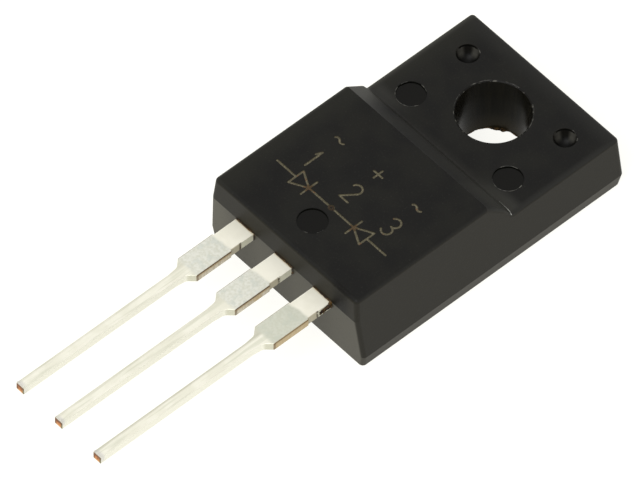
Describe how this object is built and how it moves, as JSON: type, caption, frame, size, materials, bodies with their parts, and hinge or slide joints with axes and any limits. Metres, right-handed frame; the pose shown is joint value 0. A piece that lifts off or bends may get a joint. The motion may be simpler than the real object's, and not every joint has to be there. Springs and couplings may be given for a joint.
{
  "type": "rectifier diode",
  "caption": "Fully moulded rectifier diode: dark epoxy block with a stepped screw tab and straight tinned leads in a row, common cathode on the middle lead",
  "frame": {"origin": "on the screw hole's axis, in the flat back face that bolts to a heat sink", "axes": "+Z out of the marked front face, +Y from the leads towards the screw tab, +X across the package towards the highest numbered lead"},
  "size_m": [0.0102, 0.0293, 0.0046],
  "materials": {
    "epoxy": "fine spark-eroded mould texture, semi-matte",
    "tinned_copper": "satin tin plating",
    "header_copper": "bare stamped copper",
    "silicon": "polished",
    "solder": "dull",
    "bond_metal": "drawn wire"
  },
  "bodies": {
    "root": {"body": "epoxy", "cathode_lead": "tinned_copper", "anode_lead_1": "tinned_copper", "anode_lead_2": "tinned_copper", "header": "header_copper", "lead_solder": "solder", "die_1": "silicon", "die_2": "silicon", "die_solder_1": "solder", "die_solder_2": "solder", "bond_wire_1": "bond_metal", "bond_wire_2": "bond_metal", "bond_wire_3": "bond_metal", "bond_wire_4": "bond_metal"}
  },
  "joints": []
}
